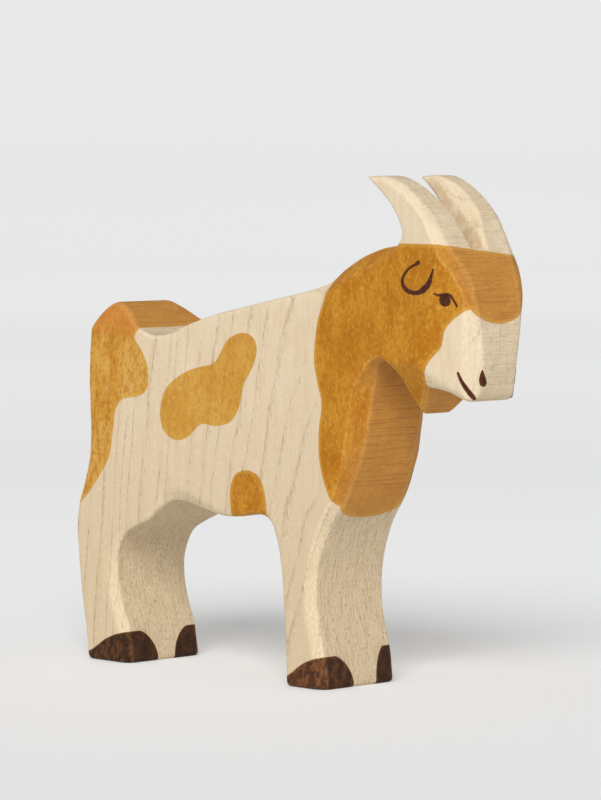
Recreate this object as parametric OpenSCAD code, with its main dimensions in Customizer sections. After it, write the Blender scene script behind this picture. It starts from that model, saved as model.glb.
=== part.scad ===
// Carved wooden billy goat: one sawn board, edges shaved to facets, stained and painted by hand.
// +X is where the goat looks, +Y its left, +Z up. The origin is on the ground under the middle.

/* [Board] */
// Thickness of the board, which is the width over the legs
board_w = 26; // [22:0.5:30]
// How deep stain and paint soak into the wood
coat_depth = 0.3; // [0.2:0.05:0.4]
// Spacing of the points along every curve
curve_step = 2.6; // [2:0.2:5]

/* [Shaved facets] */
// Width of the chin, which the cheeks taper to
chin_w = 15.6; // [13:0.2:18]
// Width of the tail at its top
tail_top_w = 17.8; // [15:0.2:22]
// Width of the beard at its tip
beard_tip_w = 10.8; // [8:0.2:14]
// Height of the flat floor between the horns
horn_slot_floor_z = 107; // [105:0.5:110]
// Width of the gap between the horns at its floor
horn_slot_floor_w = 4.4; // [3:0.2:6]
// Width of the gap between the horns at the height of their tips
horn_slot_top_w = 10.4; // [8:0.2:12]

/* [Painted lines] */
// Diameter of the eye
eye_d = 2.8; // [2:0.1:3]
// Thickest width of the ear line
ear_line_w = 1.5; // [1:0.1:1.8]
// Thickest width of the mouth line
mouth_line_w = 1.1; // [0.8:0.1:1.4]
// Width of the line over the eye
eyelid_line_w = 0.6; // [0.5:0.05:0.8]

/* [Hidden] */

half_w = board_w / 2;
far = 200;              // larger than the whole figure
under = -5;             // legs are drawn this far below the ground, then sawn off level
right = -1;
left = 1;

// Side outline, as smooth runs that meet in corners. Each point is
// [x, z, facet width taken off the edge face on each side, facet width taken off the flank].
chest_run = [
    [22.9, under, 1.8, 2.7], [22.3, 1, 1.8, 2.7], [21.2, 8.5, 1.8, 2.7], [19.2, 16, 1.8, 2.5],
    [18.4, 24, 1.7, 2.8], [19.3, 31, 1.9, 2], [22, 38.3, 2.3, 1.8], [26.2, 44.5, 3, 1.9],
    [29.4, 51, 3.5, 2.1], [31.8, 57.5, 4.1, 2.5], [33.6, 64, 4.1, 3.2], [34.9, 70.5, 4.1, 3.5],
    [36.6, 76, 3.6, 1.8], [38.8, 79.5, 2, 0.8], [41.2, 80.6, 0.8, 0.5],
    [43.7, 79.4, 0.6, 0.5], [45.6, 76.5, 0.6, 0.5], [46.6, 72, 0.6, 0.5]
];
beard_run = [[47.8, 67.6, 0.6, 0.5], [50.8, 71.2, 0.6, 0.5]];
face_run = [
    [53.3, 74.3, 0.6, 0.5], [57, 73.8, 0.6, 0.5], [60.2, 73.1, 0.6, 0.5], [62.6, 71.8, 0.7, 0.6],
    [64.8, 71.3, 0.9, 0.8], [66.7, 72.7, 1.2, 1], [67.7, 77, 1.7, 1.7], [68.3, 84, 1.7, 1.8],
    [67.9, 91, 1.8, 1.6], [66.6, 97.2, 2.4, 1], [64.3, 102.5, 2.9, 1.4], [61.5, 106.8, 2.8, 1.8],
    [59, 111, 2.5, 1.7], [56.2, 115, 2.2, 1.4], [52.4, 118.6, 1.8, 1.4], [47.4, 121.9, 1.6, 1.5],
    [42.2, 123.7, 1.2, 1]
];
horn_back_run = [
    [36.6, 123.5, 0.5, 0.4], [40.6, 120.6, 0.5, 0.4], [44.7, 116.9, 0.5, 0.4],
    [47.4, 113, 0.5, 0.4], [48.4, 110, 0.5, 0.4]
];
back_run = [
    [46.6, 107.4, 0.8, 0.6], [43.2, 107.2, 3, 2.8], [38.6, 106.5, 3.6, 3.7], [32.3, 104.4, 3.6, 4],
    [27, 101.5, 3.3, 3.6], [22.4, 98, 2.2, 2.4], [14, 95.6, 1, 1], [4, 93.6, 0.8, 0.8],
    [-6, 91.6, 0.8, 0.8], [-16, 89.5, 0.8, 0.8], [-26, 86.7, 0.8, 0.8], [-33, 84.2, 0.8, 0.8],
    [-39.5, 83.7, 0.6, 0.6], [-45.5, 86, 0.4, 0.4], [-51, 89.4, 0.4, 0.4], [-55.5, 91.2, 0.4, 0.4],
    [-59.2, 90.3, 1, 0.8], [-61.8, 86.6, 1.2, 1], [-63, 80, 1.4, 1.2], [-63.4, 71, 1.5, 1.2],
    [-62.9, 60, 1.5, 1.2], [-63.4, 52, 1.5, 1.2], [-65.2, 45.6, 1.5, 1.2], [-67.5, 39.5, 1.5, 1.2],
    [-68.3, 33, 1.5, 1.2], [-67.6, 25, 1.5, 1.2], [-66.4, 16, 1.5, 1.2], [-64.6, 5, 1.5, 1.2]
];
rear_sole_run = [[-63.4, under, 1.2, 1]];
belly_run = [
    [-47.1, under, 1.8, 2.3], [-48, 1, 1.8, 2.3], [-49.3, 8.8, 1.8, 2.3], [-51.6, 14.5, 1.7, 2.4],
    [-53.3, 21, 1.5, 2.6], [-53.1, 27, 1.2, 2.2], [-50.6, 32, 0.8, 1.2], [-46, 34.9, 0.6, 0.7],
    [-41, 36.9, 0.9, 0.9], [-37.2, 39.8, 1.2, 1.4], [-33.5, 42.2, 1.8, 2.4],
    [-28.6, 42.5, 1.8, 2.8], [-22, 41.2, 1.6, 2.2], [-14, 39.9, 1, 1.2], [-7, 40.2, 0.8, 0.8],
    [-1, 41.1, 0.8, 0.8], [3, 40.2, 0.8, 0.8], [5.4, 36.6, 0.8, 0.8], [7.2, 29.5, 0.8, 0.8],
    [8.2, 20, 0.8, 0.8], [8.9, 9, 0.8, 0.8]
];
front_sole_run = [[9.4, under, 0.8, 0.8]];

// Edges of the stained and painted areas on the flank, as closed smooth loops of [x, z].
flank_loop = [
    [-0.5, 81.5], [-2.2, 84.5], [-6, 85.2], [-10.5, 83.6], [-13.2, 80.5], [-16, 77.4],
    [-23.5, 75.7], [-29.5, 73.2], [-33.8, 69.8], [-35.5, 64.5], [-34.2, 60], [-30.2, 57.8],
    [-25.5, 58.7], [-20.5, 62.2], [-15, 62], [-10, 63.3], [-6.8, 67], [-5.2, 72.5], [-2, 77]
];
belly_loop = [
    [-8.6, 36], [-9.8, 42], [-10, 46.5], [-8.2, 50.4], [-4, 51.7], [0, 50.5], [2, 47.2],
    [3, 42], [3.4, 36]
];
// Edges of the large stains where they cross the flank, listed from top to bottom.
neck_edge = [
    [24.8, 104], [24.3, 99.5], [22.8, 94.2], [20.5, 88.5], [19.4, 80], [20.6, 74.2], [22, 69.2],
    [21.1, 63], [21.1, 56.5], [22.6, 51], [24.4, 47.2], [26.4, 44], [30, 41]
];
tail_edge = [
    [-43.3, 90], [-43.6, 85.5], [-45, 82.6], [-42, 79], [-40.1, 75], [-40.3, 70.2], [-44, 68],
    [-49.5, 67.1], [-52.4, 64], [-53.4, 58.4], [-54.8, 52.5], [-58.5, 47.2], [-64.5, 41], [-72, 36]
];
muzzle_edge = [
    [76, 93.6], [68.2, 93.3], [64.4, 91.5], [61, 88.2], [59.6, 84], [56.6, 80.8], [54.6, 77.3],
    [53.9, 74.6], [54.5, 70], [56, 66]
];
// Centre lines of the brushed lines on the face, as [x, z, share of the full width].
ear_line = [
    [54.7, 103.8, 0.85], [53.3, 103.2, 0.6], [51.3, 102.3, 0.55], [49.7, 100.8, 0.6],
    [49, 99.2, 0.65], [49.6, 97.8, 0.75], [51.3, 96.8, 0.75], [53.8, 96.6, 0.75], [56, 97.5, 1],
    [57.5, 98.8, 0.95], [58.3, 100.5, 0.6], [59, 102.4, 0.2]
];
eyelid_line = [
    [58.4, 96.3, 0.4], [60.2, 96.9, 0.9], [62.2, 96.8, 1], [63.5, 95.4, 1], [64.4, 93.6, 1.1]
];
mouth_line = [
    [63, 78.6, 0.35], [63.7, 76.6, 0.7], [64.7, 74.8, 0.9], [66, 72.8, 1], [67.5, 70.8, 1]
];
nostril_loop = [[67.2, 79.6], [65.4, 77.2], [65.8, 75.2], [69.5, 75], [69.5, 78]];
eye_at = [61.5, 94.9];
line_reach = 4;         // the brushed lines lie further out than this from the middle plane

// Catmull-Rom curve between b and c.
function curve_at(a, b, c, d, t) =
    0.5 * (2 * b + (c - a) * t + (2 * a - 5 * b + 4 * c - d) * t * t + (3 * b - a - 3 * c + d) * t * t * t);

function pieces(b, c) = max(1, round(norm([c[0] - b[0], c[1] - b[1]]) / curve_step));

// Points along a smooth run whose last point is end.
function run_to(points, end) =
    let (p = concat(points, [end]))
    [for (i = [0:len(p) - 2])
        let (n = pieces(p[i], p[i + 1]))
        for (k = [0:n - 1])
            curve_at(p[max(i - 1, 0)], p[i], p[i + 1], p[min(i + 2, len(p) - 1)], k / n)];

// Points along an open smooth line, both ends included.
function line_points(p) =
    let (end = p[len(p) - 1])
    concat(run_to([for (i = [0:len(p) - 2]) p[i]], end), [end]);

// Points round a closed smooth loop.
function round_loop(p) =
    let (m = len(p))
    [for (i = [0:m - 1])
        let (n = pieces(p[i], p[(i + 1) % m]))
        for (k = [0:n - 1])
            curve_at(p[(i + m - 1) % m], p[i], p[(i + 1) % m], p[(i + 2) % m], k / n)];

outline = concat(
    run_to(chest_run, beard_run[0]), run_to(beard_run, face_run[0]),
    run_to(face_run, horn_back_run[0]), run_to(horn_back_run, back_run[0]),
    run_to(back_run, rear_sole_run[0]), run_to(rear_sole_run, belly_run[0]),
    run_to(belly_run, front_sole_run[0]), run_to(front_sole_run, chest_run[0])
);

function inward(a, b) = [a[1] - b[1], b[0] - a[0]] / norm([b[0] - a[0], b[1] - a[1]]);

// Offset direction at outline point i: it moves both neighbouring edges inward by one unit.
function miter(i) =
    let (
        n = len(outline),
        before = inward(outline[(i + n - 1) % n], outline[i]),
        after = inward(outline[i], outline[(i + 1) % n])
    )
    (before + after) / max(1 + before * after, 0.15);

// A facet's leg gets this much shorter for each millimetre that the whole surface moves in.
facet_shrink = 2 - sqrt(2);
function leg(width, depth) = max(0.05, width - facet_shrink * depth);

function ring(depth, side, on_flank) =
    [for (i = [0:len(outline) - 1])
        let (
            p = outline[i],
            q = [p[0], p[1]] + miter(i) * (depth + (on_flank ? leg(p[3], depth) : 0)),
            y = half_w - depth - (on_flank ? 0 : leg(p[2], depth))
        )
        [q[0], side * y, q[1]]];

function band(from, to, n) =
    [for (i = [0:n - 1])
        let (j = (i + 1) % n)
        each [[from + i, to + j, to + i], [from + i, from + j, to + j]]];

// The board with its outline sawn and its edges shaved, depth below the finished surface.
module sawn_board(depth) {
    n = len(outline);
    polyhedron(
        points = concat(ring(depth, right, true), ring(depth, right, false),
                        ring(depth, left, false), ring(depth, left, true)),
        faces = concat([[for (i = [n - 1:-1:0]) i]], band(0, n, n), band(n, 2 * n, n),
                       band(2 * n, 3 * n, n), [[for (i = [0:n - 1]) 3 * n + i]]),
        convexity = 8
    );
}

// All that lies outside the plane through the point at, whose outward direction is out:
// the hull of a large plate on the plane and the same plate further out.
module outside(at, out, depth) {
    unit = out / norm(out);
    translate(at - unit * depth)
        rotate([0, acos(unit[2]), atan2(unit[1], unit[0])])
            hull() for (rise = [0, far / 4])
                translate([-far / 2, -far / 2, rise]) cube([far, far, 1]);
}

module box_between(low, high) {
    translate(low) cube(high - low);
}

// Flat facets that a belt sander takes off each side.
module side_facets(depth) {
    cheek_y = chin_w / 2;
    for (side = [right, left]) scale([1, side, 1]) {
        // cheek, from the full board width at the brow to the chin
        outside([68, cheek_y, 80], [0.338, 1, -0.11], depth);
        // corner between the cheek and the front of the muzzle
        outside([68.3, cheek_y - 1.6, 84], [1, 1, -0.16], depth);
        intersection() {
            outside([48, beard_tip_w / 2, 68], [0, 1, -0.63], depth);
            box_between([42, 0, 60], [80, far, 82]);
        }
        intersection() {
            outside([-55, tail_top_w / 2, 91], [0, 1, 0.65], depth);
            box_between([-80, 0, 70], [-30, far, 100]);
        }
    }
}

// One flat cut on the inner edge of the left horn. It runs out at the foot of the horn.
module left_horn_cut(depth) {
    intersection() {
        outside([53.55, 4.22, 115.02], [0.386, -1, 0.646], depth);
        box_between([30, 0, horn_slot_floor_z - depth], [90, far, far]);
    }
}

module horn_slot(depth) {
    z = [horn_slot_floor_z, 124];
    w = [horn_slot_floor_w, horn_slot_top_w] / 2 + [depth, depth];
    rise = 4;
    slope = (w[1] - w[0]) / (z[1] - z[0]);
    translate([20, 0, 0]) rotate([90, 0, 90]) linear_extrude(60)
        polygon([
            [-w[0], z[0] - depth], [w[0], z[0] - depth],
            [w[1] + rise * slope, z[1] + rise], [-w[1] - rise * slope, z[1] + rise]
        ]);
}

// The carved solid, depth below the finished surface and still too long in the leg.
module carving(depth) {
    difference() {
        sawn_board(depth);
        side_facets(depth);
        horn_slot(depth);
        left_horn_cut(depth);
    }
}

module figure() {
    difference() {
        carving(0);
        box_between([-far / 2, -far / 2, -far], [far / 2, far / 2, 0]);
    }
}

// Extrudes an area drawn on the flank, between two distances from the middle plane.
module across(y_from, y_to) {
    translate([0, y_to, 0]) rotate([90, 0, 0]) linear_extrude(y_to - y_from) children();
}

// Extrudes an area drawn on the front view, between two places along the body.
module along(x_from, x_to) {
    translate([x_from, 0, 0]) rotate([90, 0, 90]) linear_extrude(x_to - x_from) children();
}

module on_side(side) {
    scale([1, -side, 1]) children();
}

module oval(centre, radii) {
    translate(centre) scale([1, radii[1] / radii[0]]) circle(r = radii[0], $fn = 40);
}

// The part of an area's prism that lies in the soaked layer.
module coat() {
    intersection() {
        figure();
        difference() {
            children();
            carving(coat_depth);
        }
    }
}

module neck_area() {
    polygon(concat([[90, 41], [90, 112], [24.8, 112]], line_points(neck_edge)));
}

module muzzle_area() {
    polygon(concat([[90, 60], [90, 93.6]], line_points(muzzle_edge), [[56, 60]]));
}

module tail_area() {
    polygon(concat([[-90, 36], [-90, 110], [-43.3, 110]], line_points(tail_edge)));
}

module head_region() {
    horn_paint_z = 106.4;   // the stain ends here at the foot of the horns
    horn_paint_tilt = 7;    // degrees: it sits higher on the right than on the left
    difference() {
        union() {
            difference() {
                across(-20, 20) neck_area();
                across(-20, 20) muzzle_area();
            }
            along(60, 72) oval([0, 94.3], [9, 4.8]);
            along(20, 40) oval([0, 44.6], [10.4, 3.2]);
        }
        translate([0, 0, horn_paint_z]) rotate([-horn_paint_tilt, 0, 0])
            box_between([0, -40, 0], [90, 40, 40]);
    }
}

// Hoof area: below a slope that rises along the flank from the heel to the toe, and on the front
// of the leg inside a quarter oval. spread is how far that reaches from the edge to the middle.
module hoof_region(side, heel_x, toe_x, heel_z, toe_z, spread) {
    edge_y = 10.4;
    middle = (heel_x + toe_x) / 2;
    on_side(side) intersection() {
        across(-20, 0)
            polygon([
                [heel_x - 6, -1], [heel_x - 6, heel_z - 1.2], [heel_x, heel_z],
                [middle, heel_z + 0.62 * (toe_z - heel_z)], [toe_x, toe_z - 0.4],
                [toe_x + 8, toe_z], [toe_x + 8, -1]
            ]);
        along(heel_x - 8, toe_x + 8) {
            translate([-20, -1]) square([20 - edge_y, 20]);
            oval([-edge_y, 0], [spread, toe_z]);
        }
    }
}

module front_hoof_region(side) {
    hoof_region(side, 9.6, 22, 2.4, side == right ? 8.5 : 9.7, side == right ? 8.2 : 5);
}

module rear_hoof_region(side) {
    hoof_region(side, -62.5, -48.6, 2.2, 8.5, side == right ? 8 : 7.2);
}

// A brushed line: its centre line widened by its share of the full width.
module brushed(line, width) {
    path = line_points(line);
    n = len(path);
    sides = [for (s = [-1, 1])
        [for (i = [0:n - 1])
            let (step = path[min(i + 1, n - 1)] - path[max(i - 1, 0)])
            [path[i][0], path[i][1]]
                + s * path[i][2] * width / 2 * [-step[1], step[0]] / norm([step[0], step[1]])]];
    polygon(concat(sides[0], [for (i = [n - 1:-1:0]) sides[1][i]]));
}

module face_area(part) {
    if (part == "ear") brushed(ear_line, ear_line_w);
    if (part == "eye") translate(eye_at) circle(d = eye_d, $fn = 24);
    if (part == "eyelid") brushed(eyelid_line, eyelid_line_w);
    if (part == "mouth") brushed(mouth_line, mouth_line_w);
    if (part == "nostril") polygon(nostril_loop);
}

module face_region(part, side) {
    on_side(side) across(-20, -line_reach) face_area(part);
}

module all_face_regions() {
    for (side = [right, left], part = ["ear", "eye", "eyelid", "mouth", "nostril"])
        face_region(part, side);
}

module flank_region(side) {
    on_side(side) across(-20, 0.5 - half_w) polygon(round_loop(flank_loop));
}

module belly_region(side) {
    on_side(side) across(-20, 1.5 - half_w) polygon(round_loop(belly_loop));
}

module wood_figure() {
    color("wheat") difference() {
        figure();
        difference() {
            union() {
                head_region();
                across(-20, 20) tail_area();
                all_face_regions();
                for (side = [right, left]) {
                    flank_region(side);
                    belly_region(side);
                    front_hoof_region(side);
                    rear_hoof_region(side);
                }
            }
            carving(coat_depth);
        }
    }
}

module head_and_neck_stain() {
    color("goldenrod") coat() difference() {
        head_region();
        all_face_regions();
    }
}

module tail_stain() {
    color("goldenrod") coat() across(-20, 20) tail_area();
}

module flank_patch(side) {
    color("goldenrod") coat() flank_region(side);
}

module belly_patch(side) {
    color("goldenrod") coat() belly_region(side);
}

module front_hoof_paint(side) {
    color("saddlebrown") coat() front_hoof_region(side);
}

module rear_hoof_paint(side) {
    color("saddlebrown") coat() rear_hoof_region(side);
}

module face_line(part, side) {
    color("maroon") coat() face_region(part, side);
}

wood_figure();
head_and_neck_stain();
tail_stain();
flank_patch(right);  // flank_patch_right
flank_patch(left);  // flank_patch_left
belly_patch(right);  // belly_patch_right
belly_patch(left);  // belly_patch_left
front_hoof_paint(right);  // front_hoof_paint_right
front_hoof_paint(left);  // front_hoof_paint_left
rear_hoof_paint(right);  // rear_hoof_paint_right
rear_hoof_paint(left);  // rear_hoof_paint_left
face_line("ear", right);  // ear_line_right
face_line("ear", left);  // ear_line_left
face_line("eye", right);  // eye_right
face_line("eye", left);  // eye_left
face_line("eyelid", right);  // eyelid_line_right
face_line("eyelid", left);  // eyelid_line_left
face_line("mouth", right);  // mouth_line_right
face_line("mouth", left);  // mouth_line_left
face_line("nostril", right);  // nostril_right
face_line("nostril", left);  // nostril_left
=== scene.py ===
"""A small billy goat carved from one board, stained and painted by hand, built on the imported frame.

Shapes are worked out in millimetres in the frame's axes, where +X is the way the goat looks and +Z
is up, and become metres when a mesh is made. The wood is the zero level of one field, meshed by
dual contouring. Each coat of stain or paint is a thin closed skin cut from that same surface.
"""

import math

import bpy
import numpy as np
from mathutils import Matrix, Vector
from mathutils.bvhtree import BVHTree


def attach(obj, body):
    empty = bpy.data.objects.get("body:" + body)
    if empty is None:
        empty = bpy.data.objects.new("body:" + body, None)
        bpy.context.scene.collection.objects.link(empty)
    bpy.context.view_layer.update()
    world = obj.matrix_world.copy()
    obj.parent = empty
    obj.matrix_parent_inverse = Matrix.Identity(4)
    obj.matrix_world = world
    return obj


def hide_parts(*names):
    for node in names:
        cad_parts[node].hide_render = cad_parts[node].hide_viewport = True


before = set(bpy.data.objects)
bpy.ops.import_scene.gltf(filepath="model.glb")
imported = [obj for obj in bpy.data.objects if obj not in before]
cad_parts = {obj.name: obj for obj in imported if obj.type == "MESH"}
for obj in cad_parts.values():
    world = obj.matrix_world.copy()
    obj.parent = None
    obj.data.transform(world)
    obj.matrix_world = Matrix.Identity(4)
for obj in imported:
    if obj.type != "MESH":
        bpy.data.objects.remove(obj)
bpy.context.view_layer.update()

MM = 0.001
SEED = 11
RIGHT = -1
LEFT = 1

# ---------------------------------------------------------------- side outline
# Smooth runs that meet in corners, as in the CAD source. Each point is
# [x, z, facet width taken off the edge face on each side, facet width taken off the flank].
UNDER = -5
CHEST_RUN = [
    [22.9, UNDER, 1.8, 2.7], [22.3, 1, 1.8, 2.7], [21.2, 8.5, 1.8, 2.7], [19.2, 16, 1.8, 2.5],
    [18.4, 24, 1.7, 2.8], [19.3, 31, 1.9, 2], [22, 38.3, 2.3, 1.8], [26.2, 44.5, 3, 1.9],
    [29.4, 51, 3.5, 2.1], [31.8, 57.5, 4.1, 2.5], [33.6, 64, 4.1, 3.2], [34.9, 70.5, 4.1, 3.5],
    [36.6, 76, 3.6, 1.8], [38.8, 79.5, 2, 0.8], [41.2, 80.6, 0.8, 0.5],
    [43.7, 79.4, 0.6, 0.5], [45.6, 76.5, 0.6, 0.5], [46.6, 72, 0.6, 0.5],
]
BEARD_RUN = [[47.8, 67.6, 0.6, 0.5], [50.8, 71.2, 0.6, 0.5]]
FACE_RUN = [
    [53.3, 74.3, 0.6, 0.5], [57, 73.8, 0.6, 0.5], [60.2, 73.1, 0.6, 0.5], [62.6, 71.8, 0.7, 0.6],
    [64.8, 71.3, 0.9, 0.8], [66.7, 72.7, 1.2, 1], [67.7, 77, 1.7, 1.7], [68.3, 84, 1.7, 1.8],
    [67.9, 91, 1.8, 1.6], [66.6, 97.2, 2.4, 1], [64.3, 102.5, 2.9, 1.4], [61.5, 106.8, 2.8, 1.8],
    [59, 111, 2.5, 1.7], [56.2, 115, 2.2, 1.4], [52.4, 118.6, 1.8, 1.4], [47.4, 121.9, 1.6, 1.5],
    [42.2, 123.7, 1.2, 1],
]
HORN_BACK_RUN = [
    [36.6, 123.5, 0.5, 0.4], [40.6, 120.6, 0.5, 0.4], [44.7, 116.9, 0.5, 0.4],
    [47.4, 113, 0.5, 0.4], [48.4, 110, 0.5, 0.4],
]
BACK_RUN = [
    [46.6, 107.4, 0.8, 0.6], [43.2, 107.2, 3, 2.8], [38.6, 106.5, 3.6, 3.7], [32.3, 104.4, 3.6, 4],
    [27, 101.5, 3.3, 3.6], [22.4, 98, 2.2, 2.4], [14, 95.6, 1, 1], [4, 93.6, 0.8, 0.8],
    [-6, 91.6, 0.8, 0.8], [-16, 89.5, 0.8, 0.8], [-26, 86.7, 0.8, 0.8], [-33, 84.2, 0.8, 0.8],
    [-39.5, 83.7, 0.6, 0.6], [-45.5, 86, 0.4, 0.4], [-51, 89.4, 0.4, 0.4], [-55.5, 91.2, 0.4, 0.4],
    [-59.2, 90.3, 1, 0.8], [-61.8, 86.6, 1.2, 1], [-63, 80, 1.4, 1.2], [-63.4, 71, 1.5, 1.2],
    [-62.9, 60, 1.5, 1.2], [-63.4, 52, 1.5, 1.2], [-65.2, 45.6, 1.5, 1.2], [-67.5, 39.5, 1.5, 1.2],
    [-68.3, 33, 1.5, 1.2], [-67.6, 25, 1.5, 1.2], [-66.4, 16, 1.5, 1.2], [-64.6, 5, 1.5, 1.2],
]
REAR_SOLE_RUN = [[-63.4, UNDER, 1.2, 1]]
BELLY_RUN = [
    [-47.1, UNDER, 1.8, 2.3], [-48, 1, 1.8, 2.3], [-49.3, 8.8, 1.8, 2.3], [-51.6, 14.5, 1.7, 2.4],
    [-53.3, 21, 1.5, 2.6], [-53.1, 27, 1.2, 2.2], [-50.6, 32, 0.8, 1.2], [-46, 34.9, 0.6, 0.7],
    [-41, 36.9, 0.9, 0.9], [-37.2, 39.8, 1.2, 1.4], [-33.5, 42.2, 1.8, 2.4],
    [-28.6, 42.5, 1.8, 2.8], [-22, 41.2, 1.6, 2.2], [-14, 39.9, 1, 1.2], [-7, 40.2, 0.8, 0.8],
    [-1, 41.1, 0.8, 0.8], [3, 40.2, 0.8, 0.8], [5.4, 36.6, 0.8, 0.8], [7.2, 29.5, 0.8, 0.8],
    [8.2, 20, 0.8, 0.8], [8.9, 9, 0.8, 0.8],
]
FRONT_SOLE_RUN = [[9.4, UNDER, 0.8, 0.8]]
RUNS = [
    CHEST_RUN, BEARD_RUN, FACE_RUN, HORN_BACK_RUN, BACK_RUN, REAR_SOLE_RUN, BELLY_RUN,
    FRONT_SOLE_RUN,
]
OUTLINE_STEP = 0.7

# ---------------------------------------------------------------- facets of the solid
HALF_WIDTH = 13
# Flat facets as (point on it, outward direction), for the left side and mirrored to the right.
CHEEK = ((68, 7.8, 80), (0.338, 1, -0.11))
MUZZLE_CORNER = ((68.3, 6.2, 84), (1, 1, -0.16))
BEARD_SIDE = ((48, 5.4, 68), (0, 1, -0.63))
TAIL_SIDE = ((-55, 8.9, 91), (0, 1, 0.65))
BEARD_MIN_X = 42
BEARD_MAX_Z = 82
TAIL_MAX_X = -30
TAIL_MIN_Z = 70
HORNS_MIN_X = 20
# The gap between the horns: height and half width at its floor and at the tips.
SLOT_FLOOR = (107, 2.2)
SLOT_TOP = (124, 5.2)
SLOT_FACE = 0           # place of the gap's walls in the list of faces
HORN_EDGE = 0.5         # width of the small facet on the horns' inner edges
# One flat cut on the left horn's inner edge, as a point on it and its outward direction. It runs
# out at the foot of the horn.
LEFT_HORN_CUT = ((53.55, 4.22, 115.02), (0.386, -1, 0.646))
ROUNDING = 0.5          # how widely two faces melt into each other
SOLE_ROUNDING = 1.5
CHIP = 0.14             # how far the knife strayed from an even facet

# ---------------------------------------------------------------- edges of the coats, side view
FLANK_LOOP = [
    [-0.5, 81.5], [-2.2, 84.5], [-6, 85.2], [-10.5, 83.6], [-13.2, 80.5], [-16, 77.4],
    [-23.5, 75.7], [-29.5, 73.2], [-33.8, 69.8], [-35.5, 64.5], [-34.2, 60], [-30.2, 57.8],
    [-25.5, 58.7], [-20.5, 62.2], [-15, 62], [-10, 63.3], [-6.8, 67], [-5.2, 72.5], [-2, 77],
]
BELLY_LOOP = [
    [-8.6, 36], [-9.8, 42], [-10, 46.5], [-8.2, 50.4], [-4, 51.7], [0, 50.5], [2, 47.2],
    [3, 42], [3.4, 36],
]
NECK_EDGE = [
    [24.8, 104], [24.3, 99.5], [22.8, 94.2], [20.5, 88.5], [19.4, 80], [20.6, 74.2], [22, 69.2],
    [21.1, 63], [21.1, 56.5], [22.6, 51], [24.4, 47.2], [26.4, 44], [30, 41],
]
TAIL_EDGE = [
    [-43.3, 90], [-43.6, 85.5], [-45, 82.6], [-42, 79], [-40.1, 75], [-40.3, 70.2], [-44, 68],
    [-49.5, 67.1], [-52.4, 64], [-53.4, 58.4], [-54.8, 52.5], [-58.5, 47.2], [-64.5, 41], [-72, 36],
]
MUZZLE_EDGE = [
    [76, 93.6], [68.2, 93.3], [64.4, 91.5], [61, 88.2], [59.6, 84], [56.6, 80.8], [54.6, 77.3],
    [53.9, 74.6], [54.5, 70], [56, 66],
]
HORN_PAINT_Z = 106.4
HORN_PAINT_SLOPE = math.tan(math.radians(7))
# Ovals of stain on the front faces: (lowest x, centre z, half width, half height).
FORELOCK = (60, 94.3, 9, 4.8)
CHEST_ARC = (20, 44.6, 10.4, 3.2)
# Hooves: heel x, toe x, heel z, toe z, and how far the paint reaches in on the right and the left.
FRONT_HOOF = dict(
    heel_x=9.6, toe_x=22, heel_z=2.4, toe_z={RIGHT: 8.5, LEFT: 9.7},
    reach={RIGHT: 8.2, LEFT: 5},
)
REAR_HOOF = dict(
    heel_x=-62.5, toe_x=-48.6, heel_z=2.2, toe_z={RIGHT: 8.5, LEFT: 8.5},
    reach={RIGHT: 8, LEFT: 7.2},
)
HOOF_EDGE_Y = 10.4
# The blots run over the facets until the surface is this close to the middle plane.
FLANK_BLOT_MIN_Y = 12.5
BELLY_BLOT_MIN_Y = 11.5
OUTSIDE = -9            # for a place that a region or a facet never reaches
COAT_OUT = 0.03         # a coat stands this proud of the wood
COAT_IN = 0.27

# ---------------------------------------------------------------- brushed lines of the face
# Each point is [place across, height, width]. They are drawn in a plane that is turned by slant
# degrees from the side view towards the front view, and laid on the wood from there.
EAR_LINE = [
    [54.7, 103.8, 1.25], [54.1, 103.6, 1.15], [53.3, 103.2, 0.75], [51.3, 102.3, 0.7],
    [49.7, 100.8, 0.85], [49, 99.2, 1], [49.6, 97.8, 1.15], [51.3, 96.8, 1.1], [53.8, 96.6, 1.05],
    [56, 97.5, 1.6], [57.5, 98.8, 1.45], [58.3, 100.5, 0.95], [59, 102.4, 0.4],
]
EYELID_LINE = [
    [58.7, 96.6, 0.25], [60.1, 96.2, 0.65], [61.7, 96.45, 0.7], [62.9, 96.1, 0.7],
    [63.7, 94.9, 0.55], [64.4, 93.5, 0.65],
]
EYE = (61.5, 95, 1.42)
MOUTH_SLANT = 45
MOUTH_LINE = [
    [38.2, 78.4, 0.45], [39, 76.5, 0.8], [40.3, 74.4, 1.05], [41.5, 72.9, 1.1], [42.4, 71.9, 0.8],
]
NOSTRIL = [[43.95, 78.9, 0.25], [43.9, 77.6, 1.1], [44.05, 76.1, 1.75], [44.45, 75, 1.1]]
# The brush put the left nostril further round the corner of the muzzle than the right one.
LEFT_NOSTRIL_SHIFT = -1.7
STROKE_OUT = 0.09
STROKE_IN = 0.16

# ---------------------------------------------------------------- stage, in metres and degrees
CAMERA_AT = (0.7033, -0.6814, 0.1315)
CAMERA_AZIMUTH = 45.85
CAMERA_DOWN = 3.68
FLOOR_RADIUS = 1.9
SWEEP_RADIUS = 0.6
WALL_HEIGHT = 0.5
BACKDROP_SIDES = 96
ROOM_LIGHT = 0.28
KEY_LIGHT = 0.92        # what the soft light adds to a white surface that faces it
KEY_AZIMUTH = 38
KEY_ELEVATION = 33
KEY_SPREAD = 32


def part_way(value, low, high):
    """0 below low, 1 above high, and straight in between."""
    return np.clip((value - low) / (high - low), 0, 1)


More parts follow.
